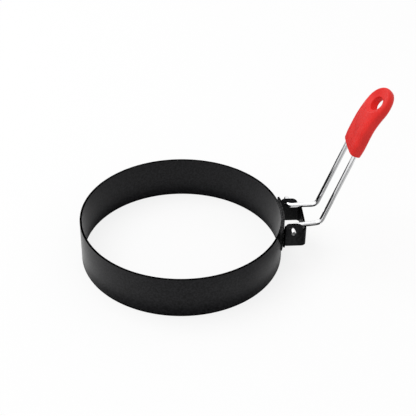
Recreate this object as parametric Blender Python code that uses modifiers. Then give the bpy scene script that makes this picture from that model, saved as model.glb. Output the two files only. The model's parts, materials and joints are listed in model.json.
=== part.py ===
"""Egg ring with a folding wire handle, in metres, +Z up.

A coated steel band stands on its lower edge. A curved saddle plate and a strip folded into two ears and
a stop are welded to its outer wall at +X. One bent wire turns in the two ears, leans on the stop in use
and folds in over the ring for storage. A silicone grip is pushed over the closed end of the wire.
"""

import math

import bmesh
import bpy
from mathutils import Vector

# Ring band
BAND_RADIUS = 0.050
BAND_HEIGHT = 0.022
BAND_WALL = 0.0011
BAND_RIM_ROUND = 0.0002
BAND_SEGMENTS = 128

# Clearances
WELD_GAP = 0.00025
REST_GAP = 0.0003
PIN_GAP = 0.0003
SLEEVE_GAP = 0.00025
CUT_OVERRUN = 0.002
MERGE_DISTANCE = 0.000001

# Saddle plate, curved with the band
SADDLE_SHEET = 0.0006
SADDLE_NEAR_TOP_WIDTH = 0.0215
SADDLE_FAR_TOP_WIDTH = 0.0108
SADDLE_FOOT_HALF_WIDTH = 0.0147
SADDLE_HEIGHT = 0.0127
SADDLE_FOOT_HEIGHT = 0.0027

# Hinge bracket, one strip folded as foot, ear, stop, ear and foot
BRACKET_SHEET = 0.0009
BRACKET_HEIGHT = 0.0130
BRACKET_RISE = 0.0003
EAR_HALF_SPAN = 0.0110
EAR_REACH = 0.0091
EAR_CORNER_RADIUS = 0.0032
EAR_ROOT_RADIUS = 0.0040
EAR_ROOT_DROP = 0.0015
STOP_REACH = 0.0110
STOP_FOLD_RADIUS = 0.0020
FOOT_FOLD_RADIUS = 0.0008
FOOT_LIFT = 0.0015
FOOT_LENGTH = 0.0036
FOOT_POINTS = 3

# Pivot and wire
PIVOT_REACH = 0.0039
PIVOT_DROP = 0.0021
WIRE_RADIUS = 0.0012
WIRE_SIDE_LEVELS = 6
WIRE_END_LENGTH = 0.0040
WIRE_END_BEND = 0.0020
WIRE_KNEE_BEND = 0.0036
WIRE_TOP_BEND = 0.0050
LEG_RUN = 0.0140
LEG_RISE = 0.0008
LEG_HALF_GAP_AT_KNEE = 0.0076
LEG_HALF_GAP_IN_GRIP = 0.0073
LEAN_ANGLE = math.radians(70.5)
BARE_LENGTH = 0.0412
TURN_STEP = math.radians(12)

# Grip, straight over the wire and then curved away from the ring
GRIP_BODY_LENGTH = 0.0240
GRIP_STRAIGHT_LENGTH = 0.0110
GRIP_CURVE_RADIUS = 0.049
GRIP_HALF_WIDTH = 0.0097
GRIP_HALF_THICKNESS = 0.0033
GRIP_WIRE_DEPTH = 0.0155
GRIP_CORNER_POWER = 3.8
GRIP_AROUND = 40
GRIP_BODY_RINGS = 20
GRIP_END_RINGS = 10
GRIP_END_CLOSED_SHARE = 0.985
GRIP_EDGE_POWER = 0.5
GRIP_WIDTH_SHARES = (0.96, 1.0, 1.0, 0.99, 0.98, 0.99, 1.0)
GRIP_THICKNESS_SHARES = (0.94, 1.0, 1.0, 1.0, 1.0, 1.0, 1.0)

# Hang hole through the grip
HANG_HOLE_HALF_LENGTH = 0.0037
HANG_HOLE_HALF_WIDTH = 0.0047
HANG_HOLE_LIP_WIDTH = 0.0030
HANG_HOLE_LIP_DEPTH = 0.0026
HANG_HOLE_LIP_STEPS = 6
HANG_HOLE_BEYOND_BODY = 0.0004
HANG_HOLE_SEGMENTS = 32


def clear_scene():
    for scene_object in list(bpy.data.objects):
        bpy.data.objects.remove(scene_object, do_unlink=True)


def new_collection(name):
    collection = bpy.data.collections.new(name)
    bpy.context.scene.collection.children.link(collection)
    return collection


def new_object(name, data, collection, location=(0, 0, 0), rotation=(0, 0, 0)):
    result = bpy.data.objects.new(name, data)
    result.location = location
    result.rotation_euler = rotation
    collection.objects.link(result)
    return result


def move_to_collection(scene_object, collection):
    for old in list(scene_object.users_collection):
        old.objects.unlink(scene_object)
    collection.objects.link(scene_object)


def material(name, color, roughness, metallic):
    result = bpy.data.materials.new(name)
    result.use_nodes = True
    shader = result.node_tree.nodes["Principled BSDF"]
    shader.inputs["Base Color"].default_value = (*color, 1)
    shader.inputs["Roughness"].default_value = roughness
    shader.inputs["Metallic"].default_value = metallic
    return result


def curve_as_mesh(name, curve, collection, location=(0, 0, 0), rotation=(0, 0, 0)):
    """The curve's evaluated surface as a mesh object, with the caps welded on."""
    holder = new_object(name + "_curve", curve, collection, location, rotation)
    bpy.context.view_layer.update()
    graph = bpy.context.evaluated_depsgraph_get()
    mesh = bpy.data.meshes.new_from_object(holder.evaluated_get(graph))
    shape = bmesh.new()
    shape.from_mesh(mesh)
    bmesh.ops.remove_doubles(shape, verts=shape.verts, dist=MERGE_DISTANCE)
    shape.to_mesh(mesh)
    shape.free()
    result = new_object(name, mesh, collection)
    result.matrix_world = holder.matrix_world
    bpy.data.objects.remove(holder, do_unlink=True)
    return result


def poly_curve(name, points, closed=False, flat=False):
    curve = bpy.data.curves.new(name, "CURVE")
    curve.dimensions = "2D" if flat else "3D"
    spline = curve.splines.new("POLY")
    spline.points.add(len(points) - 1)
    for target, point in zip(spline.points, points):
        target.co = (*point, 1) if len(point) == 3 else (*point, 0, 1)
    spline.use_cyclic_u = closed
    return curve


def tube(name, points, radius, collection, location=(0, 0, 0)):
    curve = poly_curve(name, points)
    curve.bevel_depth = radius
    curve.bevel_resolution = WIRE_SIDE_LEVELS
    curve.use_fill_caps = True
    return curve_as_mesh(name, curve, collection, location)


def prism(name, outline, half_depth, collection, location=(0, 0, 0), rotation=(0, 0, 0)):
    """A flat outline drawn in X and Y, made half_depth thick to each side."""
    curve = poly_curve(name, outline, closed=True, flat=True)
    curve.fill_mode = "BOTH"
    curve.extrude = half_depth
    return curve_as_mesh(name, curve, collection, location, rotation)


def make_cutter(scene_object):
    scene_object.hide_render = True
    scene_object.display_type = "WIRE"
    return scene_object


def boolean(target, cutter, operation="DIFFERENCE"):
    modifier = target.modifiers.new(cutter.name, "BOOLEAN")
    modifier.operation = operation
    modifier.object = cutter


def solidify(target, thickness, offset):
    modifier = target.modifiers.new("sheet", "SOLIDIFY")
    modifier.thickness = thickness
    modifier.offset = offset
    modifier.use_even_offset = True


def smooth(target, angle=math.radians(35)):
    target.data.shade_smooth()
    target.data.set_sharp_from_angle(angle=angle)


def rounded_path(corners, bends):
    """The corner points, with each inner corner replaced by a bend of the given radius."""
    path = [corners[0]]
    for before, corner, after, radius in zip(corners, corners[1:], corners[2:], bends):
        if not radius:
            path.append(corner)
            continue
        back = (before - corner).normalized()
        ahead = (after - corner).normalized()
        turn = math.pi - back.angle(ahead)
        centre = corner + (back + ahead).normalized() * radius / math.cos(turn / 2)
        start = corner + back * radius * math.tan(turn / 2) - centre
        end = corner + ahead * radius * math.tan(turn / 2) - centre
        steps = math.ceil(turn / TURN_STEP)
        path.extend(centre + start.slerp(end, step / steps) * radius for step in range(steps + 1))
    path.append(corners[-1])
    return path


def arc(centre_x, centre_y, radius, start, end, steps):
    angles = [start + (end - start) * step / steps for step in range(steps + 1)]
    return [(centre_x + radius * math.cos(a), centre_y + radius * math.sin(a)) for a in angles]


def along(values, share):
    """A smooth curve through evenly spaced values, read at a share from 0 to 1."""
    spans = len(values) - 1
    index = min(int(share * spans), spans - 1)
    rest = share * spans - index
    before, here = values[max(index - 1, 0)], values[index]
    after, beyond = values[index + 1], values[min(index + 2, spans)]
    slope_here, slope_after = (after - before) / 2, (beyond - here) / 2
    rise = after - here
    bend = slope_here + (3 * rise - 2 * slope_here - slope_after) * rest
    return here + rest * (bend + (slope_here + slope_after - 2 * rise) * rest * rest)


# Places worked out from the sizes above
SADDLE_INNER_RADIUS = BAND_RADIUS + WELD_GAP
SADDLE_OUTER_RADIUS = SADDLE_INNER_RADIUS + SADDLE_SHEET
FOOT_MIDDLE_RADIUS = SADDLE_OUTER_RADIUS + WELD_GAP + BRACKET_SHEET / 2
FOOT_OUTER_RADIUS = FOOT_MIDDLE_RADIUS + BRACKET_SHEET / 2
EAR_MIDDLE = EAR_HALF_SPAN - BRACKET_SHEET / 2
EAR_INNER = EAR_HALF_SPAN - BRACKET_SHEET
EAR_ROOT = math.sqrt(FOOT_OUTER_RADIUS ** 2 - EAR_HALF_SPAN ** 2)
EAR_END = BAND_RADIUS + EAR_REACH
BRACKET_HALF_WIDTH = EAR_HALF_SPAN + FOOT_LENGTH
STOP_OUTER = BAND_RADIUS + STOP_REACH
STOP_MIDDLE = STOP_OUTER - BRACKET_SHEET / 2
BRACKET_TOP = BAND_HEIGHT + BRACKET_RISE
BRACKET_BOTTOM = BRACKET_TOP - BRACKET_HEIGHT
PIVOT =Vector((BAND_RADIUS + PIVOT_REACH, 0, BAND_HEIGHT - PIVOT_DROP))
LEG_HALF_GAP_AT_PIVOT = EAR_INNER - PIN_GAP - WIRE_RADIUS
LEG_SLOPE = LEG_RISE / LEG_RUN
STOP_TOP = (
    PIVOT.z
    + (STOP_OUTER - BRACKET_SHEET - PIVOT.x) * LEG_SLOPE
    - (WIRE_RADIUS + REST_GAP) * math.hypot(1, LEG_SLOPE)
)
LEAN = Vector((math.cos(LEAN_ANGLE), 0, math.sin(LEAN_ANGLE)))
KNEE = Vector((LEG_RUN, 0, LEG_RISE))


def ring_band(parts, coating):
    """A plain strip bent into a hoop, with its two cut edges lightly rounded."""
    bpy.ops.mesh.primitive_cylinder_add(
        vertices=BAND_SEGMENTS,
        radius=BAND_RADIUS,
        depth=BAND_HEIGHT,
        end_fill_type="NOTHING",
        location=(0, 0, BAND_HEIGHT / 2),
    )
    band = bpy.context.object
    band.name = "ring_band"
    move_to_collection(band, parts)
    solidify(band, BAND_WALL, -1)
    rims = band.modifiers.new("rims", "BEVEL")
    rims.width = BAND_RIM_ROUND
    rims.segments = 2
    rims.limit_method = "ANGLE"
    rims.angle_limit = math.radians(60)
    band.data.materials.append(coating)
    smooth(band)
    return band


def saddle_plate(parts, cutters, coating):
    """A thin plate rolled to the band's curve, wide along the rim and cut back below."""
    bpy.ops.mesh.primitive_cylinder_add(
        vertices=BAND_SEGMENTS,
        radius=SADDLE_INNER_RADIUS,
        depth=BAND_HEIGHT,
        end_fill_type="NOTHING",
        location=(0, 0, BAND_HEIGHT / 2),
    )
    plate = bpy.context.object
    plate.name = "saddle_plate"
    move_to_collection(plate, parts)
    solidify(plate, SADDLE_SHEET, 1)
    foot = BAND_HEIGHT - SADDLE_HEIGHT
    shoulder = foot + SADDLE_FOOT_HEIGHT
    outline = [
        (-SADDLE_FOOT_HALF_WIDTH, foot),
        (SADDLE_FOOT_HALF_WIDTH, foot),
        (SADDLE_FOOT_HALF_WIDTH, shoulder),
        (SADDLE_FAR_TOP_WIDTH, BAND_HEIGHT),
        (-SADDLE_NEAR_TOP_WIDTH, BAND_HEIGHT),
        (-SADDLE_FOOT_HALF_WIDTH, shoulder),
    ]
    blank = prism(
        "saddle_outline",
        outline,
        BAND_RADIUS / 2,
        cutters,
        location=(BAND_RADIUS, 0, 0),
        rotation=(math.pi / 2, 0, math.pi / 2),
    )
    boolean(plate, make_cutter(blank), "INTERSECT")
    plate.data.materials.append(coating)
    smooth(plate)
    return plate


def bracket_path():
    """The folded strip's middle line seen from above, from one foot round to the other."""
    fold_angle = math.asin(EAR_MIDDLE / FOOT_MIDDLE_RADIUS)
    foot_angle = fold_angle + FOOT_LENGTH / FOOT_MIDDLE_RADIUS
    half = []
    for step in range(FOOT_POINTS + 1):
        angle = foot_angle + (fold_angle - foot_angle) * step / FOOT_POINTS
        half.append(Vector((math.cos(angle), math.sin(angle), 0)) * FOOT_MIDDLE_RADIUS)
    half.pop(FOOT_POINTS - 1)
    half.append(Vector((STOP_MIDDLE, EAR_MIDDLE, 0)))
    other = [Vector((point.x, -point.y, 0)) for point in reversed(half)]
    corners = half + other
    flat_corners = [0] * (FOOT_POINTS - 2)
    folds = [FOOT_FOLD_RADIUS, STOP_FOLD_RADIUS]
    bends = flat_corners + folds + folds[::-1] + flat_corners
    return rounded_path(corners, bends)


def foot_upper_cut():
    """What is cut away above the feet and off the ears' corners by the band, as X and Z points."""
    turn = math.acos(1 - EAR_ROOT_DROP / EAR_ROOT_RADIUS)
    root_end = EAR_ROOT + EAR_ROOT_RADIUS * math.sin(turn)
    root = arc(
        root_end,
        BRACKET_TOP - EAR_ROOT_RADIUS,
        EAR_ROOT_RADIUS,
        math.pi / 2 + turn,
        math.pi / 2,
        6,
    )
    above = BRACKET_TOP + CUT_OVERRUN
    behind = EAR_ROOT - EAR_HALF_SPAN
    return [(root_end, above), (behind, above), (behind, BRACKET_TOP - EAR_ROOT_DROP)] + root


def foot_lower_cut():
    """What is cut away below the feet, as X and Z points."""
    foot_bottom = BRACKET_BOTTOM + FOOT_LIFT
    below = BRACKET_BOTTOM - CUT_OVERRUN
    behind = EAR_ROOT - EAR_HALF_SPAN
    return [(behind, below), (EAR_ROOT, below), (EAR_ROOT, foot_bottom), (behind, foot_bottom)]


def stop_cut():
    """What is cut away above the stop and off the ears' outer corners, as X and Z points."""
    corner = arc(
        EAR_END - EAR_CORNER_RADIUS,
        BRACKET_TOP - EAR_CORNER_RADIUS,
        EAR_CORNER_RADIUS,
        math.pi / 2,
        0,
        8,
    )
    above = BRACKET_TOP + CUT_OVERRUN
    beyond = STOP_OUTER + CUT_OVERRUN
    start = [(EAR_END - EAR_CORNER_RADIUS, above)]
    return start + corner + [(EAR_END, STOP_TOP), (beyond, STOP_TOP), (beyond, above)]


def hinge_bracket(parts, cutters, coating):
    """One strip folded into feet, ears and the stop that the wire leans on."""
    ribbon = poly_curve("hinge_bracket", [point.xy for point in bracket_path()], flat=True)
    ribbon.extrude = BRACKET_HEIGHT / 2
    middle = (BRACKET_TOP + BRACKET_BOTTOM) / 2
    bracket = curve_as_mesh("hinge_bracket", ribbon, parts, location=(0, 0, middle))
    solidify(bracket, BRACKET_SHEET, 0)
    outlines = {
        "foot_upper_cut": foot_upper_cut(),
        "foot_lower_cut": foot_lower_cut(),
        "stop_cut": stop_cut(),
    }
    for name, outline in outlines.items():
        reach = BRACKET_HALF_WIDTH + CUT_OVERRUN
        trim = prism(name, outline, reach, cutters, rotation=(math.pi / 2, 0, 0))
        boolean(bracket, make_cutter(trim))
    bpy.ops.mesh.primitive_cylinder_add(
        vertices=32,
        radius=WIRE_RADIUS + PIN_GAP,
        depth=2 * (EAR_HALF_SPAN + CUT_OVERRUN),
        location=PIVOT,
        rotation=(math.pi / 2, 0, 0),
    )
    holes = bpy.context.object
    holes.name = "ear_holes"
    move_to_collection(holes, cutters)
    boolean(bracket, make_cutter(holes))
    bracket.data.materials.append(coating)
    smooth(bracket)
    return bracket


def wire_path():
    """The wire's middle line about the pivot: out-turned end, leg, lean, loop and back."""
    top = KNEE + LEAN * (BARE_LENGTH + GRIP_WIRE_DEPTH)
    half = [
        Vector((0, EAR_HALF_SPAN + WIRE_END_LENGTH, 0)),
        Vector((0, LEG_HALF_GAP_AT_PIVOT, 0)),
        KNEE + Vector((0, LEG_HALF_GAP_AT_KNEE, 0)),
        top + Vector((0, LEG_HALF_GAP_IN_GRIP, 0)),
    ]
    other = [Vector((point.x, -point.y, point.z)) for point in reversed(half)]
    bends = [WIRE_END_BEND, WIRE_KNEE_BEND, WIRE_TOP_BEND]
    return rounded_path(half + other, bends + bends[::-1])


def handle_wire(parts, hinge, chrome):
    """One length of wire, its two ends turned out through the ears."""
    wire = tube("handle_wire", wire_path(), WIRE_RADIUS, parts)
    wire.parent = hinge
    wire.data.materials.append(chrome)
    smooth(wire)
    return wire


def grip_spine(distance):
    """The grip's middle line from its mouth: the place in X and Z, and the angle turned so far."""
    turned = max(distance - GRIP_STRAIGHT_LENGTH, 0) / GRIP_CURVE_RADIUS
    straight = min(distance, GRIP_STRAIGHT_LENGTH)
    x = straight + GRIP_CURVE_RADIUS * math.sin(turned)
    z = GRIP_CURVE_RADIUS * (math.cos(turned) - 1)
    return x, z, turned


def grip_ring(distance, half_width, half_thickness):
    """One rounded cross-section of the grip, square to its middle line."""
    x, z, turned = grip_spine(distance)
    ring = []
    for step in range(GRIP_AROUND):
        angle = math.tau * step / GRIP_AROUND
        across, over = math.cos(angle), math.sin(angle)
        side = half_width * math.copysign(abs(across) ** (2 / GRIP_CORNER_POWER), across)
        lift = half_thickness * math.copysign(abs(over) ** (2 / GRIP_CORNER_POWER), over)
        ring.append((x + lift * math.sin(turned), side, z + lift * math.cos(turned)))
    return ring


def grip_rings():
    """Cross-sections from the mouth, along the body, then round the far end."""
    rings = []
    for step in range(GRIP_BODY_RINGS + 1):
        share = step / GRIP_BODY_RINGS
        width = GRIP_HALF_WIDTH * along(GRIP_WIDTH_SHARES, share)
        thickness = GRIP_HALF_THICKNESS * along(GRIP_THICKNESS_SHARES, share)
        rings.append(grip_ring(GRIP_BODY_LENGTH * share, width, thickness))
    for step in range(1, GRIP_END_RINGS + 1):
        turn = math.pi / 2 * GRIP_END_CLOSED_SHARE * step / GRIP_END_RINGS
        distance = GRIP_BODY_LENGTH + GRIP_HALF_WIDTH * math.sin(turn)
        width = GRIP_HALF_WIDTH * math.cos(turn)
        thickness = GRIP_HALF_THICKNESS * math.cos(turn) ** GRIP_EDGE_POWER
        rings.append(grip_ring(distance, width, thickness))
    return rings


def hole_ring(lip, height):
    """One oval cross-section of the hang hole, widened by the lip."""
    ring = []
    for step in range(HANG_HOLE_SEGMENTS):
        angle = math.tau * step / HANG_HOLE_SEGMENTS
        x = (HANG_HOLE_HALF_LENGTH + lip) * math.cos(angle)
        y = (HANG_HOLE_HALF_WIDTH + lip) * math.sin(angle)
        ring.append((x, y, height))
    return ring


def hole_rings():
    """The hang hole from one face to the other, flaring into a rounded lip at both."""
    lip_start = GRIP_HALF_THICKNESS - HANG_HOLE_LIP_DEPTH
    upper = [(0, lip_start)]
    for step in range(1, HANG_HOLE_LIP_STEPS + 1):
        turn = math.pi / 2 * step / HANG_HOLE_LIP_STEPS
        lip = HANG_HOLE_LIP_WIDTH * (1 - math.cos(turn))
        upper.append((lip, lip_start + HANG_HOLE_LIP_DEPTH * math.sin(turn)))
    upper.append((HANG_HOLE_LIP_WIDTH, GRIP_HALF_THICKNESS + CUT_OVERRUN))
    whole = [(lip, -height) for lip, height in reversed(upper)] + upper
    return [hole_ring(lip, height) for lip, height in whole]


def loft(name, rings, collection):
    """Cross-sections with equal point counts joined by faces and closed at both ends."""
    shape = bmesh.new()
    levels = [[shape.verts.new(point) for point in ring] for ring in rings]
    for level, following in zip(levels, levels[1:]):
        for step in range(len(level)):
            after = (step + 1) % len(level)
            shape.faces.new((level[step], level[after], following[after], following[step]))
    shape.faces.new(levels[0])
    shape.faces.new(levels[-1])
    bmesh.ops.recalc_face_normals(shape, faces=shape.faces)
    mesh = bpy.data.meshes.new(name)
    shape.to_mesh(mesh)
    shape.free()
    return new_object(name, mesh, collection)


def grip_sleeve(parts, cutters, hinge, silicone):
    """A moulded sleeve with a blind channel for the wire loop and a hole to hang it by."""
    grip = loft("grip_sleeve", grip_rings(), parts)
    grip.parent = hinge
    grip.location = KNEE + LEAN * BARE_LENGTH
    grip.rotation_euler = (0, -LEAN_ANGLE, 0)
    channel = tube("grip_channel", wire_path(), WIRE_RADIUS + SLEEVE_GAP, cutters)
    channel.parent = hinge
    boolean(grip, make_cutter(channel))
    hole = make_cutter(loft("hang_hole", hole_rings(), cutters))
    hole.parent = grip
    hole.location.x, hole.location.z, hole.rotation_euler.y = grip_spine(
        GRIP_BODY_LENGTH + HANG_HOLE_BEYOND_BODY
    )
    boolean(grip, hole)
    grip.data.materials.append(silicone)
    smooth(grip)
    return grip


def reach_along_x(scene_objects):
    """The lowest and highest X of the finished shapes."""
    bpy.context.view_layer.update()
    graph = bpy.context.evaluated_depsgraph_get()
    places = []
    for scene_object in scene_objects:
        done = scene_object.evaluated_get(graph)
        places.extend((done.matrix_world @ vertex.co).x for vertex in done.data.vertices)
    return min(places), max(places)


def main():
    clear_scene()
    parts = new_collection("egg_ring")
    cutters = new_collection("cutters")
    coating = material("black_coating", (0.016, 0.016, 0.017), 0.5, 0.0)
    chrome = material("bright_wire", (0.78, 0.78, 0.80), 0.12, 1.0)
    silicone = material("red_silicone", (0.75, 0.03, 0.03), 0.55, 0.0)

    assembly = new_object("assembly", None, parts)
    hinge = new_object("handle_hinge", None, parts, location=PIVOT)
    hinge.parent = assembly
    fixed = [
        ring_band(parts, coating),
        saddle_plate(parts, cutters, coating),
        hinge_bracket(parts, cutters, coating),
    ]
    swinging = [
        handle_wire(parts, hinge, chrome),
        grip_sleeve(parts, cutters, hinge, silicone),
    ]
    for scene_object in fixed:
        scene_object.parent = assembly
    for scene_object in cutters.objects:
        if scene_object.parent is None:
            scene_object.parent = assembly

    low, high = reach_along_x(fixed + swinging)
    assembly.location.x = -(low + high) / 2


main()
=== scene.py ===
import json
import math

import bmesh
import bpy
from mathutils import Matrix, Vector


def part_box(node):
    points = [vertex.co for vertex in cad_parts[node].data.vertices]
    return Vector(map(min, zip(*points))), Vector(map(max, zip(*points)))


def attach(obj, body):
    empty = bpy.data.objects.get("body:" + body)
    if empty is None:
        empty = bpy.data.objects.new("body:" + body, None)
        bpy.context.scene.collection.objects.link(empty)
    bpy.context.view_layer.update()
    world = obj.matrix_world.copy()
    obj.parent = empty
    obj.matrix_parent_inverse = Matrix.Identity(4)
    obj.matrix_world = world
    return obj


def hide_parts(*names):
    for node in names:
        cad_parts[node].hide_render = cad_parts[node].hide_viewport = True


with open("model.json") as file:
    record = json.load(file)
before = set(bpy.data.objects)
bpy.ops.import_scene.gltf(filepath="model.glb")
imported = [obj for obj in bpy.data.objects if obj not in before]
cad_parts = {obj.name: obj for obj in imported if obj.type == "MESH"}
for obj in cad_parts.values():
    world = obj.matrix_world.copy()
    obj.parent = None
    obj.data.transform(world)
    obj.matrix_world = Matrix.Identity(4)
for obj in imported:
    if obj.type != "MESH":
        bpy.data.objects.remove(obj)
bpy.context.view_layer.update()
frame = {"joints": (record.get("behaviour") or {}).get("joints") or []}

# An egg ring with a folding wire handle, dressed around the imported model, in a plain studio.
# Lengths are in metres and angles in radians.

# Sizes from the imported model
band_low, band_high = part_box("ring_band")
CENTRE_X = (band_low.x + band_high.x) / 2
BAND_RADIUS = (band_high.y - band_low.y) / 2
BAND_HEIGHT = band_high.z
PIVOT = Vector(frame["joints"][0]["pos_m"])

# Sizes repeated from the part's source
BAND_WALL = 0.0011
WELD_GAP = 0.00025
REST_GAP = 0.0003
PIN_GAP = 0.0003
SADDLE_SHEET = 0.0006
SADDLE_NEAR_TOP_WIDTH = 0.0215
SADDLE_FAR_TOP_WIDTH = 0.0108
SADDLE_FOOT_HALF_WIDTH = 0.0147
SADDLE_HEIGHT = 0.0127
SADDLE_FOOT_HEIGHT = 0.0027
BRACKET_SHEET = 0.0009
BRACKET_HEIGHT = 0.0130
BRACKET_RISE = 0.0003
EAR_HALF_SPAN = 0.0110
EAR_REACH = 0.0091
EAR_CORNER_RADIUS = 0.0032
STOP_REACH = 0.0110
STOP_FOLD_RADIUS = 0.0020
FOOT_FOLD_RADIUS = 0.0008
FOOT_LIFT = 0.0015
FOOT_LENGTH = 0.0036
PIVOT_REACH = 0.0039
PIVOT_DROP = 0.0021
WIRE_RADIUS = 0.0012
WIRE_END_LENGTH = 0.0040
WIRE_END_BEND = 0.0020
WIRE_KNEE_BEND = 0.0036
WIRE_TOP_BEND = 0.0050
LEG_RUN = 0.0140
LEG_RISE = 0.0008
LEG_HALF_GAP_AT_KNEE = 0.0076
LEG_HALF_GAP_IN_GRIP = 0.0073
LEAN_ANGLE = math.radians(70.5)
BARE_LENGTH = 0.0412
GRIP_BODY_LENGTH = 0.0240
GRIP_STRAIGHT_LENGTH = 0.0110
GRIP_CURVE_RADIUS = 0.049
GRIP_HALF_WIDTH = 0.0097
GRIP_HALF_THICKNESS = 0.0033
GRIP_WIRE_DEPTH = 0.0155
GRIP_CORNER_POWER = 3.8
GRIP_EDGE_POWER = 0.5
GRIP_END_CLOSED_SHARE = 0.985
GRIP_WIDTH_SHARES = (0.96, 1.0, 1.0, 0.99, 0.98, 0.99, 1.0)
GRIP_THICKNESS_SHARES = (0.94, 1.0, 1.0, 1.0, 1.0, 1.0, 1.0)

# Places worked out from those sizes, about the ring's middle
SADDLE_INNER_RADIUS = BAND_RADIUS + WELD_GAP
SADDLE_OUTER_RADIUS = SADDLE_INNER_RADIUS + SADDLE_SHEET
FOOT_MIDDLE_RADIUS = SADDLE_OUTER_RADIUS + WELD_GAP + BRACKET_SHEET / 2
EAR_MIDDLE = EAR_HALF_SPAN - BRACKET_SHEET / 2
EAR_INNER = EAR_HALF_SPAN - BRACKET_SHEET
EAR_END = BAND_RADIUS + EAR_REACH
STOP_OUTER = BAND_RADIUS + STOP_REACH
STOP_MIDDLE = STOP_OUTER - BRACKET_SHEET / 2
FOOT_OUTER_RADIUS = FOOT_MIDDLE_RADIUS + BRACKET_SHEET / 2
EAR_ROOT = math.sqrt(FOOT_OUTER_RADIUS ** 2 - EAR_HALF_SPAN ** 2)
BRACKET_TOP = BAND_HEIGHT + BRACKET_RISE
BRACKET_BOTTOM = BRACKET_TOP - BRACKET_HEIGHT
BRACKET_HALF_WIDTH = EAR_HALF_SPAN + FOOT_LENGTH
HINGE = Vector((BAND_RADIUS + PIVOT_REACH, 0, BAND_HEIGHT - PIVOT_DROP))
LEG_HALF_GAP_AT_PIVOT = EAR_INNER - PIN_GAP - WIRE_RADIUS
LEG_SLOPE = LEG_RISE / LEG_RUN
STOP_TOP = (
    HINGE.z
    + (STOP_OUTER - BRACKET_SHEET - HINGE.x) * LEG_SLOPE
    - (WIRE_RADIUS + REST_GAP) * math.hypot(1, LEG_SLOPE)
)
LEAN = Vector((math.cos(LEAN_ANGLE), 0, math.sin(LEAN_ANGLE)))
KNEE = Vector((LEG_RUN, 0, LEG_RISE))

# The scene's own detail on the band and the sheets
BAND_SEGMENTS = 288
BAND_RIM_ROUND = 0.00028
BAND_RIM_STEPS = 4
BAND_RIM_STEEPNESS = 0.3
# The band's foot carries painted shadow up to this height
BAND_FOOT_SHADE_HEIGHT = 0.0009
SHEET_EDGE_ROUND = 0.00014
SHEET_EDGE_STEPS = 2
SHEET_EDGE_ANGLE = math.radians(40)
SADDLE_SEAT = 0.00005
SADDLE_RISES = 8
SADDLE_COLUMNS = 64
FOOT_THIRDS = (0, 1, 3)
EAR_ROOT_RADIUS = 0.0015
EAR_ROOT_DROP = 0.0010
EAR_ROOT_STEPS = 16
EAR_CORNER_STEPS = 20
EAR_HOLE_PLAY = 0.00008
EAR_HOLE_AROUND = 48
CUT_OVERRUN = 0.002
# Where the painted highlight on the edges by the hinge starts and where it is full, as a distance from the
# ring's middle towards the hinge
HIGHLIGHT_START = 0.0465
HIGHLIGHT_FULL = 0.0485

# The scene's own detail on the wire: the chamfer is given as shares of its length and of its depth
TURN_STEP = math.radians(4)
WIRE_AROUND = 28
WIRE_CHAMFER = 0.00028
WIRE_CHAMFER_SHARES = ((0, 1), (0.4, 0.35), (1, 0))
WIRE_SHARP_ANGLE = math.radians(40)

# The scene's own detail on the grip
CHANNEL_GAP = 0.00008
GRIP_AROUND = 96
GRIP_BODY_RINGS = 72
GRIP_END_RINGS = 28
GRIP_TIP_CORNER_POWER = 2.6
GRIP_VOXEL = 0.00022
GRIP_SMOOTHING = 0.5
GRIP_SMOOTHING_ROUNDS = 6

# The hang hole: a throat between the front rim and the back, and a flare beyond each
HOLE_BEYOND_BODY = 0.0012
HOLE_RIM_HEIGHT = 0.0013
HOLE_HALF_LENGTH = 0.0034
HOLE_HALF_WIDTH = 0.0044
HOLE_TILT = math.radians(12)
HOLE_THROAT = 0.0036
HOLE_SHIFT = 0.0007
HOLE_FLARE_HEIGHT = 0.0040
HOLE_LIP_SPREAD = 2.4
HOLE_BACK_LENGTH_SPREAD = 1.0
HOLE_BACK_WIDTH_SPREAD = 1.9
HOLE_AROUND = 72
HOLE_LEVELS = 10

# How fine the noise of each finish is
SPECKLE_SCALE = 1050
COATING_GRAIN_SCALE = 2600
HIGHLIGHT_MOTTLE_SCALE = 1100
WIRE_MARK_SCALE = 900
SILICONE_MOTTLE_SCALE = 160
SILICONE_GRAIN_SCALE = 3200

# Where a piece has more than one material: the places in its list of those for its edges and its foot, which
# on the band and the sheets carry painted shade
EDGE_SLOT = 1
FOOT_SLOT = 2

# Studio: floor, light, cards and camera
WHITE = (1, 1, 1, 1)
WORLD_STRENGTH = 0.6
FLOOR_HALF_WIDTH = 3.0
FLOOR_DROP = 0.00005
FLOOR_TONE = 0.92
FLOOR_WHITE_SHARE = 0.8
LAMP_PLACE = (-0.50, 0.15, 1.15)
LAMP_SIZE = 1.2
LAMP_POWER = 10.0
CARD_DROP = 0.00002
# The hoop card is a painted shadow under the band, seen only in reflections
HOOP_SEGMENTS = 96
HOOP_NARROW = 0.0025
HOOP_WIDE = 0.0090
HOOP_POWER = 1.5
CAMERA_SENSOR_MM = 36
CAMERA_LENS_MM = 94.24
CAMERA_PLACE = Matrix(
    (
        (0.998049, 0.028111, -0.055743, -0.041014),
        (-0.061607, 0.587994, -0.806516, -0.431482),
        (0.010105, 0.808377, 0.588579, 0.3407),
        (0, 0, 0, 1),
    )
)


# Shapes

def new_object(name, mesh, materials, location, rotation=(0, 0, 0)):
    result = bpy.data.objects.new(name, mesh)
    result.location = location
    result.rotation_euler = rotation
    bpy.context.scene.collection.objects.link(result)
    for material in materials:
        mesh.materials.append(material)
    return result


def smooth_mesh(name, shape):
    """The finished shape as a mesh, shaded smooth."""
    mesh = bpy.data.meshes.new(name)
    shape.to_mesh(mesh)
    shape.free()
    mesh.shade_smooth()
    return mesh


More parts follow.
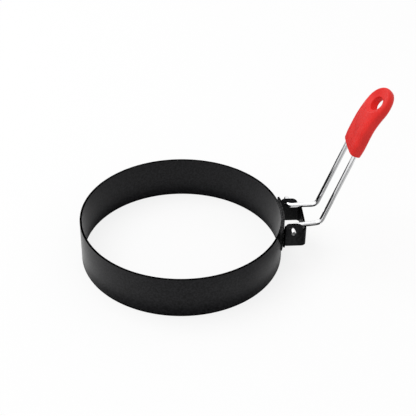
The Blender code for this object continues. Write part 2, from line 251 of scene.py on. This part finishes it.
def loft(name, rings, materials, location, rotation=(0, 0, 0), closed=False, cap=0):
    """Cross-sections joined by faces, and either closed into a loop or capped at both ends."""
    shape = bmesh.new()
    levels = [[shape.verts.new(point) for point in ring] for ring in rings]
    pairs = list(zip(levels, levels[1:]))
    if closed:
        pairs.append((levels[-1], levels[0]))
    for level, following in pairs:
        for step in range(len(level)):
            after = (step + 1) % len(level)
            shape.faces.new((level[step], level[after], following[after], following[step]))
    if not closed:
        shape.faces.new(levels[0]).material_index = cap
        shape.faces.new(levels[-1]).material_index = cap
    bmesh.ops.recalc_face_normals(shape, faces=shape.faces)
    return new_object(name, smooth_mesh(name, shape), materials, location, rotation)


def sheet(name, rows, materials, thickness, even):
    """A thin sheet, half to each side of rows of points, with the second material on its cut edges."""
    shape = bmesh.new()
    levels = [[shape.verts.new(point) for point in row] for row in rows]
    for level, above in zip(levels, levels[1:]):
        for step in range(len(level) - 1):
            shape.faces.new((level[step], level[step + 1], above[step + 1], above[step]))
    piece = new_object(name, smooth_mesh(name, shape), materials, (CENTRE_X, 0, 0))
    modifier = piece.modifiers.new("sheet", "SOLIDIFY")
    modifier.thickness = thickness
    modifier.offset = 0
    modifier.use_even_offset = even
    modifier.material_offset_rim = EDGE_SLOT
    return piece


def soften_edges(piece):
    """Rounds a sheet's sharp edges, and keeps its flat faces looking flat."""
    modifier = piece.modifiers.new("edges", "BEVEL")
    modifier.width = SHEET_EDGE_ROUND
    modifier.segments = SHEET_EDGE_STEPS
    modifier.limit_method = "ANGLE"
    modifier.angle_limit = SHEET_EDGE_ANGLE
    modifier.use_clamp_overlap = True
    modifier.harden_normals = True


def cut(piece, cutter, cutter_material=False):
    """Takes the cutter's shape off the piece, and gives the cut the cutter's material where asked."""
    modifier = piece.modifiers.new(cutter.name, "BOOLEAN")
    modifier.operation = "DIFFERENCE"
    modifier.solver = "EXACT"
    modifier.object = cutter
    if cutter_material:
        modifier.material_mode = "TRANSFER"


def settle(piece, cutters=()):
    """The piece's mesh becomes what its modifiers make of it, and the cutters go."""
    graph = bpy.context.evaluated_depsgraph_get()
    mesh = bpy.data.meshes.new_from_object(piece.evaluated_get(graph))
    piece.modifiers.clear()
    piece.data = mesh
    for cutter in cutters:
        bpy.data.objects.remove(cutter, do_unlink=True)


def mirrored(points):
    """The points on the other side of the handle's middle, in the opposite order."""
    return [Vector((point.x, -point.y, point.z)) for point in reversed(points)]


def arc(centre_x, centre_y, radius, start, end, steps):
    angles = [start + (end - start) * step / steps for step in range(steps + 1)]
    return [(centre_x + radius * math.cos(a), centre_y + radius * math.sin(a)) for a in angles]


def rounded_path(corners, bends):
    """The corner points, with each inner corner replaced by a bend of the given radius."""
    path = [corners[0]]
    for before, corner, after, radius in zip(corners, corners[1:], corners[2:], bends):
        if not radius:
            path.append(corner)
            continue
        back = (before - corner).normalized()
        ahead = (after - corner).normalized()
        turn = math.pi - back.angle(ahead)
        centre = corner + (back + ahead).normalized() * radius / math.cos(turn / 2)
        start = corner + back * radius * math.tan(turn / 2) - centre
        end = corner + ahead * radius * math.tan(turn / 2) - centre
        steps = math.ceil(turn / TURN_STEP)
        path.extend(centre + start.slerp(end, step / steps) * radius for step in range(steps + 1))
    path.append(corners[-1])
    return path


def sweep_rings(points, radii, around):
    """Circles square to a line of points, turned as little as possible from one to the next."""
    tangents = []
    for index in range(len(points)):
        before = points[max(index - 1, 0)]
        after = points[min(index + 1, len(points) - 1)]
        tangents.append((after - before).normalized())
    side = tangents[0].orthogonal().normalized()
    rings = []
    for point, tangent, radius in zip(points, tangents, radii):
        side = (side - tangent * side.dot(tangent)).normalized()
        other = tangent.cross(side)
        ring = []
        for step in range(around):
            angle = math.tau * step / around
            ring.append(point + (side * math.cos(angle) + other * math.sin(angle)) * radius)
        rings.append(ring)
    return rings


def along(values, share):
    """A smooth curve through evenly spaced values, read at a share from 0 to 1."""
    spans = len(values) - 1
    index = min(int(share * spans), spans - 1)
    rest = share * spans - index
    before, here = values[max(index - 1, 0)], values[index]
    after, beyond = values[index + 1], values[min(index + 2, spans)]
    slope_here, slope_after = (after - before) / 2, (beyond - here) / 2
    rise = after - here
    bend = slope_here + (3 * rise - 2 * slope_here - slope_after) * rest
    return here + rest * (bend + (slope_here + slope_after - 2 * rise) * rest * rest)


# Materials

def new_material(name):
    """A material with its tree and its Principled shader."""
    material = bpy.data.materials.new(name)
    material.use_nodes = True
    tree = material.node_tree
    return material, tree, tree.nodes["Principled BSDF"]


def node(tree, kind, **values):
    """A new node, each value set on the input of that name or else on the node itself."""
    made = tree.nodes.new(kind)
    for key, value in values.items():
        if key in made.inputs:
            made.inputs[key].default_value = value
        else:
            setattr(made, key, value)
    return made


def noise(tree, scale, detail=2.0, roughness=0.5, stretch=None):
    """Noise over the piece's own coordinates, which may be stretched along its axes."""
    place = node(tree, "ShaderNodeTexCoord").outputs["Object"]
    if stretch:
        mapping = node(tree, "ShaderNodeMapping", Scale=stretch)
        tree.links.new(place, mapping.inputs["Vector"])
        place = mapping.outputs["Vector"]
    texture = node(tree, "ShaderNodeTexNoise", Scale=scale, Detail=detail, Roughness=roughness)
    tree.links.new(place, texture.inputs["Vector"])
    return texture.outputs["Fac"]


def spread(tree, source, low, high, source_low=0.3, source_high=0.7):
    """The source's values from source_low to source_high, mapped to low to high."""
    limits = {"From Min": source_low, "From Max": source_high, "To Min": low, "To Max": high}
    mapped = node(tree, "ShaderNodeMapRange", **limits)
    tree.links.new(source, mapped.inputs["Value"])
    return mapped.outputs["Result"]


def blend_colors(tree, factor, first, second):
    """A mix of two colours, each given either as three numbers or as a node's output."""
    mix = node(tree, "ShaderNodeMix", data_type="RGBA")
    tree.links.new(factor, mix.inputs["Factor"])
    sockets = [socket for socket in mix.inputs if socket.type == "RGBA"]
    for socket, color in zip(sockets, (first, second)):
        if isinstance(color, bpy.types.NodeSocket):
            tree.links.new(color, socket)
        else:
            socket.default_value = (*color, 1)
    return next(socket for socket in mix.outputs if socket.type == "RGBA")


def bump(tree, shader, height, strength, distance):
    made = node(tree, "ShaderNodeBump", Strength=strength, Distance=distance)
    tree.links.new(height, made.inputs["Height"])
    tree.links.new(made.outputs["Normal"], shader.inputs["Normal"])


def object_x(tree):
    """How far a point lies from the piece's own origin towards the hinge."""
    place = node(tree, "ShaderNodeTexCoord").outputs["Object"]
    parts = node(tree, "ShaderNodeSeparateXYZ")
    tree.links.new(place, parts.inputs[0])
    return parts.outputs["X"]


def coating_material(name, colors, specular, roughness, sheen=0.0, painted_highlight=None):
    """Sprayed black coating: fine speckle in colour, gloss and height, and where asked a painted highlight
    by the hinge, mottled by noise.
    """
    dark, light = colors
    material, tree, shader = new_material(name)
    speckle = noise(tree, SPECKLE_SCALE, detail=3.0, roughness=0.6)
    grain = noise(tree, COATING_GRAIN_SCALE)
    tone = blend_colors(tree, spread(tree, speckle, 0, 1, 0.38, 0.62), dark, light)
    # Painted highlight: a lighter, mottled tone blended in towards the hinge, where the top edges catch the
    # light
    if painted_highlight:
        highlight_mottle = noise(tree, HIGHLIGHT_MOTTLE_SCALE, roughness=0.7)
        mottled_highlight = blend_colors(tree, spread(tree, highlight_mottle, 0, 1), dark, painted_highlight)
        highlight_share = spread(tree, object_x(tree), 0, 1, HIGHLIGHT_START, HIGHLIGHT_FULL)
        tone = blend_colors(tree, highlight_share, tone, mottled_highlight)
    tree.links.new(tone, shader.inputs["Base Color"])
    tree.links.new(spread(tree, grain, *roughness), shader.inputs["Roughness"])
    shader.inputs["Specular IOR Level"].default_value = specular
    shader.inputs["Sheen Weight"].default_value = sheen
    shader.inputs["Sheen Roughness"].default_value = 0.3
    bump(tree, shader, grain, strength=0.35, distance=0.00005)
    return material


def wire_material(name, colors, roughness, stretch=None):
    """Steel wire, bright where it is plated and dull where it is cut, with faint drawing marks."""
    material, tree, shader = new_material(name)
    marks = noise(tree, WIRE_MARK_SCALE, detail=3.0, roughness=0.55, stretch=stretch)
    tone = blend_colors(tree, spread(tree, marks, 0, 1), *colors)
    tree.links.new(tone, shader.inputs["Base Color"])
    shader.inputs["Metallic"].default_value = 1.0
    tree.links.new(spread(tree, marks, *roughness), shader.inputs["Roughness"])
    bump(tree, shader, marks, strength=0.08, distance=0.00002)
    return material


def silicone_material(name, colors, roughness):
    """Moulded silicone: matt, softly mottled, with the fine grain of the mould."""
    material, tree, shader = new_material(name)
    mottle = noise(tree, SILICONE_MOTTLE_SCALE)
    grain = noise(tree, SILICONE_GRAIN_SCALE)
    tone = blend_colors(tree, spread(tree, mottle, 0, 1), *colors)
    tree.links.new(tone, shader.inputs["Base Color"])
    tree.links.new(spread(tree, grain, *roughness), shader.inputs["Roughness"])
    shader.inputs["Specular IOR Level"].default_value = 0.3
    bump(tree, shader, grain, strength=0.25, distance=0.00004)
    return material


# Painted shade on edges: a near-black finish without gloss, for rims, the band's foot and cut edges
painted_shade_edge_finish = {
    "colors": ((0.0006, 0.0006, 0.0006), (0.0014, 0.0014, 0.0014)),
    "specular": 0.0,
    "roughness": (0.5, 0.6),
}
coating = coating_material(
    "black_coating",
    colors=((0.0012, 0.0012, 0.0018), (0.0110, 0.0110, 0.0128)),
    specular=0.20,
    roughness=(0.40, 0.50),
    sheen=0.42,
)
dark_coating = coating_material(
    "black_bracket",
    colors=((0.0012, 0.0012, 0.0018), (0.0120, 0.0120, 0.0138)),
    specular=0.16,
    roughness=(0.45, 0.55),
)
# Painted shade: the saddle's face is far darker and duller than the band, for the shade it sits in between
# band and bracket
saddle_painted_shade = coating_material(
    "saddle_painted_shade_coating",
    colors=((0.0012, 0.0012, 0.0013), (0.0024, 0.0024, 0.0026)),
    specular=0.05,
    roughness=(0.5, 0.6),
)
painted_shade_edge = coating_material("edge_painted_shade", **painted_shade_edge_finish)
# For the band's top rim and the saddle's edges: painted shade, with a painted highlight by the hinge
edge_painted_shade_and_highlight = coating_material("edge_painted_shade_and_highlight", **painted_shade_edge_finish, painted_highlight=(0.070, 0.070, 0.072))
chrome = wire_material(
    "bright_wire",
    colors=((0.80, 0.80, 0.81), (0.88, 0.88, 0.89)),
    roughness=(0.05, 0.09),
)
cut_metal = wire_material(
    "cut_wire_end",
    colors=((0.12, 0.12, 0.125), (0.24, 0.24, 0.245)),
    roughness=(0.30, 0.45),
    stretch=(1, 1, 0.2),
)
silicone = silicone_material(
    "red_silicone",
    colors=((0.66, 0.010, 0.0075), (0.765, 0.018, 0.013)),
    roughness=(0.46, 0.58),
)


# Pieces

def make_band():
    """A plain hoop, with its two rims lightly rounded and painted darker than the walls as shade, painted
    shadow along its foot, and a painted highlight on the top rim by the hinge.
    """
    outer, inner, rim = BAND_RADIUS, BAND_RADIUS - BAND_WALL, BAND_RIM_ROUND
    quarter = math.pi / 2
    corners = [
        (outer - rim, rim, -quarter),
        (outer - rim, BAND_HEIGHT - rim, 0),
        (inner + rim, BAND_HEIGHT - rim, quarter),
        (inner + rim, rim, math.pi),
    ]
    profile = []
    for radius, height, start in corners:
        profile += arc(radius, height, rim, start, start + quarter, BAND_RIM_STEPS)
    corner_points = BAND_RIM_STEPS + 1
    profile.insert(3 * corner_points, (inner, BAND_FOOT_SHADE_HEIGHT))
    profile.insert(corner_points, (outer, BAND_FOOT_SHADE_HEIGHT))
    rings = []
    for step in range(BAND_SEGMENTS):
        angle = math.tau * step / BAND_SEGMENTS
        rings.append([(r * math.cos(angle), r * math.sin(angle), z) for r, z in profile])
    materials = [coating, edge_painted_shade_and_highlight, painted_shade_edge]
    piece = loft("egg_ring_band", rings, materials, (CENTRE_X, 0, 0), closed=True)
    # Painted shade on the rims and the foot, and a painted highlight on the top rim by the hinge
    for face in piece.data.polygons:
        if face.center.z < BAND_FOOT_SHADE_HEIGHT:
            face.material_index = FOOT_SLOT
        elif abs(face.normal.z) > BAND_RIM_STEEPNESS:
            face.material_index = EDGE_SLOT
    return piece


def make_saddle():
    """A thin plate rolled to the band's curve, wide along the rim and cut back below."""
    foot = BAND_HEIGHT - SADDLE_HEIGHT
    shoulder = foot + SADDLE_FOOT_HEIGHT
    rise = BAND_HEIGHT - shoulder
    inside = BAND_RADIUS + SADDLE_SEAT
    middle = (inside + SADDLE_OUTER_RADIUS) / 2
    levels = [foot, (foot + shoulder) / 2]
    levels += [shoulder + rise * step / SADDLE_RISES for step in range(SADDLE_RISES + 1)]
    rows = []
    for z in levels:
        share = max(z - shoulder, 0) / rise
        near = SADDLE_FOOT_HALF_WIDTH + (SADDLE_NEAR_TOP_WIDTH - SADDLE_FOOT_HALF_WIDTH) * share
        far = SADDLE_FOOT_HALF_WIDTH + (SADDLE_FAR_TOP_WIDTH - SADDLE_FOOT_HALF_WIDTH) * share
        start, end = -math.asin(near / middle), math.asin(far / middle)
        rows.append([(x, y, z) for x, y in arc(0, 0, middle, start, end, SADDLE_COLUMNS)])
    # The saddle's face carries painted shade, and its edges painted shade with a painted highlight
    materials = [saddle_painted_shade, edge_painted_shade_and_highlight]
    piece = sheet("egg_ring_saddle", rows, materials, SADDLE_OUTER_RADIUS - inside, False)
    soften_edges(piece)
    settle(piece)
    return piece


def bracket_path():
    """The folded strip's middle line seen from above, from one foot round to the other.

    A foot has points at its ends and its first third, which leaves room for the fold's bend.
    """
    fold_angle = math.asin(EAR_MIDDLE / FOOT_MIDDLE_RADIUS)
    foot_angle = fold_angle + FOOT_LENGTH / FOOT_MIDDLE_RADIUS
    half = []
    for third in FOOT_THIRDS:
        angle = foot_angle + (fold_angle - foot_angle) * third / 3
        half.append(Vector((math.cos(angle), math.sin(angle), 0)) * FOOT_MIDDLE_RADIUS)
    half.append(Vector((STOP_MIDDLE, EAR_MIDDLE, 0)))
    folds = [0, FOOT_FOLD_RADIUS, STOP_FOLD_RADIUS]
    return rounded_path(half + mirrored(half), folds + folds[::-1])


def cutting_block(name, outline, half_width):
    """A block to cut with: an outline in X and Z, drawn about the ring's middle, from side to side."""
    rings = [[(x, y, z) for x, z in outline] for y in (-half_width, half_width)]
    return loft(name, rings, [painted_shade_edge], (CENTRE_X, 0, 0))


def bracket_cutters():
    """What is cut off the folded strip: above and below the feet, above the stop, and the ears' corners."""
    side = BRACKET_HALF_WIDTH + CUT_OVERRUN
    above, below = BRACKET_TOP + CUT_OVERRUN, BRACKET_BOTTOM - CUT_OVERRUN
    behind, beyond = EAR_ROOT - EAR_HALF_SPAN, STOP_OUTER + CUT_OVERRUN
    foot_top, foot_bottom = BRACKET_TOP - EAR_ROOT_DROP, BRACKET_BOTTOM + FOOT_LIFT

    upright = math.pi / 2
    turn = math.acos(1 - EAR_ROOT_DROP / EAR_ROOT_RADIUS)
    root_x, root_z = EAR_ROOT + EAR_ROOT_RADIUS * math.sin(turn), BRACKET_TOP - EAR_ROOT_RADIUS
    root = arc(root_x, root_z, EAR_ROOT_RADIUS, upright + turn, upright, EAR_ROOT_STEPS)
    corner_x, corner_z = EAR_END - EAR_CORNER_RADIUS, BRACKET_TOP - EAR_CORNER_RADIUS
    corner = arc(corner_x, corner_z, EAR_CORNER_RADIUS, upright, 0, EAR_CORNER_STEPS)
    outlines = {
        "upper": [(root_x, above), (behind, above), (behind, foot_top)] + root,
        "lower": [(behind, below), (EAR_ROOT, below), (EAR_ROOT, foot_bottom), (behind, foot_bottom)],
        "outer": [(corner_x, above)] + corner + [(EAR_END, STOP_TOP), (beyond, STOP_TOP), (beyond, above)],
    }
    ends = [Vector((0, -side, 0)), Vector((0, side, 0))]
    holes = sweep_rings(ends, [WIRE_RADIUS + EAR_HOLE_PLAY] * 2, EAR_HOLE_AROUND)
    cutters = [cutting_block(name, outline, side) for name, outline in outlines.items()]
    cutters.append(loft("holes", holes, [painted_shade_edge], (CENTRE_X + HINGE.x, 0, HINGE.z)))
    return cutters


def make_bracket():
    """One strip folded into feet, ears and the stop that the wire leans on."""
    path = bracket_path()
    rows = [[(point.x, point.y, z) for point in path] for z in (BRACKET_BOTTOM, BRACKET_TOP)]
    # The bracket's cut edges carry painted shade
    piece = sheet("egg_ring_bracket", rows, [dark_coating, painted_shade_edge], BRACKET_SHEET, True)
    cutters = bracket_cutters()
    for cutter in cutters:
        # The cut faces take the cutters' painted shade
        cut(piece, cutter, cutter_material=True)
    soften_edges(piece)
    settle(piece, cutters)
    return piece


def wire_path():
    """The wire's middle line about the pivot: out-turned end, leg, lean, loop and back."""
    top = KNEE + LEAN * (BARE_LENGTH + GRIP_WIRE_DEPTH)
    half = [
        Vector((0, EAR_HALF_SPAN + WIRE_END_LENGTH, 0)),
        Vector((0, LEG_HALF_GAP_AT_PIVOT, 0)),
        KNEE + Vector((0, LEG_HALF_GAP_AT_KNEE, 0)),
        top + Vector((0, LEG_HALF_GAP_IN_GRIP, 0)),
    ]
    bends = [WIRE_END_BEND, WIRE_KNEE_BEND, WIRE_TOP_BEND]
    return rounded_path(half + mirrored(half), bends + bends[::-1])


def make_wire():
    """One length of wire, its two cut ends chamfered and turned out through the ears."""
    points = wire_path()
    inward = Vector((0, -1, 0))
    lead = [points[0] + inward * WIRE_CHAMFER * length for length, depth in WIRE_CHAMFER_SHARES]
    ends = [WIRE_RADIUS - WIRE_CHAMFER * depth for length, depth in WIRE_CHAMFER_SHARES]
    points = lead + points[1:-1] + mirrored(lead)
    radii = ends + [WIRE_RADIUS] * (len(points) - 2 * len(ends)) + ends[::-1]
    rings = sweep_rings(points, radii, WIRE_AROUND)
    piece = loft("handle_wire_loop", rings, [chrome, cut_metal], PIVOT, cap=EDGE_SLOT)
    piece.data.set_sharp_from_angle(angle=WIRE_SHARP_ANGLE)
    return piece


def grip_spine(distance):
    """The grip's middle line from its mouth: the place in X and Z, and the angle turned so far."""
    turned = max(distance - GRIP_STRAIGHT_LENGTH, 0) / GRIP_CURVE_RADIUS
    straight = min(distance, GRIP_STRAIGHT_LENGTH)
    x = straight + GRIP_CURVE_RADIUS * math.sin(turned)
    z = GRIP_CURVE_RADIUS * (math.cos(turned) - 1)
    return x, z, turned


def grip_ring(distance, half_width, half_thickness):
    """One rounded cross-section of the grip, square to its middle line and rounder towards the tip."""
    x, z, turned = grip_spine(distance)
    share = min(distance / (GRIP_BODY_LENGTH + GRIP_HALF_WIDTH), 1)
    power = GRIP_CORNER_POWER + (GRIP_TIP_CORNER_POWER - GRIP_CORNER_POWER) * share ** 2
    ring = []
    for step in range(GRIP_AROUND):
        angle = math.tau * (step + 0.5) / GRIP_AROUND
        across, over = math.cos(angle), math.sin(angle)
        side = half_width * math.copysign(abs(across) ** (2 / power), across)
        lift = half_thickness * math.copysign(abs(over) ** (2 / power), over)
        ring.append((x + lift * math.sin(turned), side, z + lift * math.cos(turned)))
    return ring


def grip_rings():
    """Cross-sections from the mouth, along the body, then round the far end."""
    rings = []
    for step in range(GRIP_BODY_RINGS + 1):
        share = step / GRIP_BODY_RINGS
        width = GRIP_HALF_WIDTH * along(GRIP_WIDTH_SHARES, share)
        thickness = GRIP_HALF_THICKNESS * along(GRIP_THICKNESS_SHARES, share)
        rings.append(grip_ring(GRIP_BODY_LENGTH * share, width, thickness))
    for step in range(1, GRIP_END_RINGS + 1):
        turn = math.pi / 2 * GRIP_END_CLOSED_SHARE * step / GRIP_END_RINGS
        distance = GRIP_BODY_LENGTH + GRIP_HALF_WIDTH * math.sin(turn)
        width = GRIP_HALF_WIDTH * math.cos(turn)
        thickness = GRIP_HALF_THICKNESS * math.cos(turn) ** GRIP_EDGE_POWER
        rings.append(grip_ring(distance, width, thickness))
    return rings


def hang_hole_rings():
    """The hang hole: a short throat that leans to the tip, flaring to both faces."""
    heights = [HOLE_FLARE_HEIGHT * step / HOLE_LEVELS for step in range(HOLE_LEVELS + 1)]
    levels = []
    for height in reversed(heights):
        longer, wider = HOLE_BACK_LENGTH_SPREAD * height, HOLE_BACK_WIDTH_SPREAD * height
        levels.append((HOLE_SHIFT, -HOLE_THROAT - height, longer, wider))
    for height in heights:
        levels.append((0, height, HOLE_LIP_SPREAD * height, HOLE_LIP_SPREAD * height))
    rings = []
    for middle, height, longer, wider in levels:
        ring = []
        for step in range(HOLE_AROUND):
            angle = math.tau * step / HOLE_AROUND
            reach = (HOLE_HALF_LENGTH + longer) * math.cos(angle)
            side = (HOLE_HALF_WIDTH + wider) * math.sin(angle)
            ring.append((middle + reach * math.cos(HOLE_TILT), side, height - reach * math.sin(HOLE_TILT)))
        rings.append(ring)
    return rings


def grip_cutters(place):
    """What is taken out of the grip, whose mouth is at the place: the wire's channel and the hang hole."""
    points = wire_path()
    channel_rings = sweep_rings(points, [WIRE_RADIUS + CHANNEL_GAP] * len(points), WIRE_AROUND)
    channel = loft("channel", channel_rings, [silicone], PIVOT)
    x, z, angle = grip_spine(GRIP_BODY_LENGTH + HOLE_BEYOND_BODY)
    rim = Vector((x + HOLE_RIM_HEIGHT * math.sin(angle), 0, z + HOLE_RIM_HEIGHT * math.cos(angle)))
    rim_place = place + Matrix.Rotation(-LEAN_ANGLE, 4, "Y") @ rim
    hole = loft("hole", hang_hole_rings(), [silicone], rim_place, (0, angle - LEAN_ANGLE, 0))
    return [channel, hole]


def make_grip():
    """A moulded sleeve pushed over the wire's closed end, with an oval hole to hang it by."""
    place = PIVOT + KNEE + LEAN * BARE_LENGTH
    piece = loft("handle_grip", grip_rings(), [silicone], place, (0, -LEAN_ANGLE, 0))
    cutters = grip_cutters(place)
    bpy.context.view_layer.update()
    for cutter in cutters:
        cut(piece, cutter)
    remesh = piece.modifiers.new("skin", "REMESH")
    remesh.mode = "VOXEL"
    remesh.voxel_size = GRIP_VOXEL
    remesh.use_smooth_shade = True
    smooth = piece.modifiers.new("soft", "SMOOTH")
    smooth.factor = GRIP_SMOOTHING
    smooth.iterations = GRIP_SMOOTHING_ROUNDS
    settle(piece, cutters)
    # The mesh takes over the piece's place and turn, so that the finish follows the world's axes.
    piece.data.transform(piece.matrix_world)
    piece.location = (0, 0, 0)
    piece.rotation_euler = (0, 0, 0)
    bpy.context.view_layer.update()
    return piece


ring_pieces = [
    (make_band(), "ring_band"),
    (make_saddle(), "saddle_plate"),
    (make_bracket(), "hinge_bracket"),
]
handle_pieces = [
    (make_wire(), "handle_wire", "bright_wire"),
    (make_grip(), "grip_sleeve", "red_silicone"),
]
for piece, cad_node in ring_pieces:
    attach(piece, "ring")
    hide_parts(cad_node)
for piece, cad_node, finish in handle_pieces:
    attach(piece, "handle")
    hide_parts(cad_node)


# Studio

def grey(tone):
    return (tone, tone, tone, 1)


def shows_background(tree):
    """1 for rays from the camera and through gloss or glass, 0 for the rays that light the object."""
    path = node(tree, "ShaderNodeLightPath")
    answer = path.outputs["Is Camera Ray"]
    for kind in ("Is Glossy Ray", "Is Transmission Ray"):
        either = node(tree, "ShaderNodeMath", operation="MAXIMUM")
        tree.links.new(answer, either.inputs[0])
        tree.links.new(path.outputs[kind], either.inputs[1])
        answer = either.outputs[0]
    return answer


def mix_shaders(tree, share, first, second, surface):
    """The first shader, with the given share of the second, on the surface."""
    mix = node(tree, "ShaderNodeMixShader")
    for socket, source in zip(mix.inputs, (share, first.outputs[0], second.outputs[0])):
        tree.links.new(source, socket)
    tree.links.new(mix.outputs[0], surface)


def stage_material(name):
    """A material without a shader yet: the material, its tree and the socket that takes one."""
    material, tree, shader = new_material(name)
    tree.nodes.remove(shader)
    return material, tree, tree.nodes["Material Output"].inputs["Surface"]


def on_table(*corners):
    return [(x, y, 0) for x, y in corners]


def rectangle(x_low, x_high, y_low, y_high):
    return on_table((x_low, y_low), (x_high, y_low), (x_high, y_high), (x_low, y_high))


def flat_pieces(name, outlines, material, drop):
    """Four-cornered faces in one object, set a little lower by the drop."""
    points = [point for outline in outlines for point in outline]
    faces = [tuple(range(first, first + 4)) for first in range(0, len(points), 4)]
    mesh = bpy.data.meshes.new(name)
    mesh.from_pydata(points, [], faces)
    return new_object(name, mesh, [material], (0, 0, -drop))


def make_world():
    """Soft even light on the object, and plain white behind it."""
    world = bpy.data.worlds.new("studio")
    bpy.context.scene.world = world
    world.use_nodes = True
    tree = world.node_tree
    light = tree.nodes["Background"]
    light.inputs["Color"].default_value = WHITE
    light.inputs["Strength"].default_value = WORLD_STRENGTH
    white = node(tree, "ShaderNodeBackground", Color=WHITE, Strength=1.0)
    mix_shaders(tree, shows_background(tree), light, white, tree.nodes["World Output"].inputs["Surface"])


def make_floor():
    """A pale floor that keeps the object's shadow, and looks nearly white to the camera."""
    material, tree, surface = stage_material("studio_floor")
    paper = node(tree, "ShaderNodeBsdfDiffuse", Color=grey(FLOOR_TONE))
    white = node(tree, "ShaderNodeEmission", Color=WHITE, Strength=1.0)
    share = node(tree, "ShaderNodeMath", operation="MULTIPLY")
    share.inputs[1].default_value = FLOOR_WHITE_SHARE
    tree.links.new(shows_background(tree), share.inputs[0])
    mix_shaders(tree, share.outputs[0], paper, white, surface)
    half = FLOOR_HALF_WIDTH
    floor = flat_pieces("studio_floor", [rectangle(-half, half, -half, half)], material, FLOOR_DROP)


def make_card(name, tone, outlines):
    """A card that only reflections show, as a photographer uses to draw lines in chrome."""
    material, tree, surface = stage_material(name)
    paper = node(tree, "ShaderNodeEmission", Color=grey(tone), Strength=1.0)
    tree.links.new(paper.outputs[0], surface)
    card = flat_pieces(name, outlines, material, CARD_DROP)
    for kind in ("camera", "diffuse", "transmission", "volume_scatter", "shadow"):
        setattr(card, "visible_" + kind, False)


def hoop():
    """A painted shadow under the band that only reflections show: a flat dark hoop, wider at the front and
    back, as four-cornered pieces.
    """
    middle = BAND_RADIUS - BAND_WALL / 2
    pieces = []
    for step in range(HOOP_SEGMENTS):
        edges = []
        for extra in (0, 1):
            angle = math.tau * (step + extra) / HOOP_SEGMENTS
            half = HOOP_NARROW + (HOOP_WIDE - HOOP_NARROW) * abs(math.sin(angle)) ** HOOP_POWER
            for radius in (middle - half, middle + half):
                edges.append((CENTRE_X + radius * math.cos(angle), radius * math.sin(angle)))
        pieces.append(on_table(edges[0], edges[1], edges[3], edges[2]))
    return pieces


def make_cards():
    """Cards about the ring, black and grey, all flat on the table but for the front one's far end."""
    far_y, top = -0.450, 0.200
    front = [
        rectangle(0.036, 0.053, -0.062, 0.022),
        on_table((0.038, -0.062), (0.053, -0.062), (0.135, far_y), (0.040, far_y)),
        [(0.030, far_y, 0), (0.200, far_y, 0), (0.200, far_y, top), (0.030, far_y, top)],
    ]
    behind = [rectangle(0.012, 0.045, 0.030, 0.300), rectangle(-0.100, 0.012, 0.056, 0.300)]
    right = [rectangle(0.054, 0.078, -0.120, 0.020), rectangle(0.022, 0.036, -0.120, -0.040)]
    # A painted shadow under the band, which the walls' reflections show as a darker foot
    make_card("card_painted_shadow_under_band", 0.02, hoop())
    make_card("card_front", 0.0, front)
    make_card("card_behind", 0.0, behind)
    make_card("card_right", 0.45, right)
    make_card("card_far_right", 0.65, [rectangle(0.078, 0.110, -0.120, 0.030)])
    make_card("card_front_left", 0.62, [rectangle(-0.160, 0.022, -0.180, -0.070)])
    make_card("card_left", 0.45, [rectangle(-0.400, -0.110, -0.070, 0.010)])
    make_card("card_far_left", 0.02, [rectangle(-0.400, -0.110, 0.010, 0.160)])


def make_key_light():
    """One large soft lamp, high up to the left."""
    light = bpy.data.lights.new("soft_box", "AREA")
    light.shape = "SQUARE"
    light.size = LAMP_SIZE
    light.energy = LAMP_POWER
    lamp = bpy.data.objects.new("soft_box", light)
    bpy.context.scene.collection.objects.link(lamp)
    lamp.location = LAMP_PLACE
    lamp.rotation_euler = (-lamp.location).to_track_quat("-Z", "Y").to_euler()


def make_camera():
    """The camera as fitted to the four edges of the ring in the photograph."""
    data = bpy.data.cameras.new("camera")
    data.sensor_width = CAMERA_SENSOR_MM
    data.lens = CAMERA_LENS_MM
    camera = bpy.data.objects.new("camera", data)
    bpy.context.scene.collection.objects.link(camera)
    camera.matrix_world = CAMERA_PLACE
    bpy.context.scene.camera = camera


make_world()
make_floor()
make_cards()
make_key_light()
make_camera()
bpy.context.scene.view_settings.view_transform = "Standard"
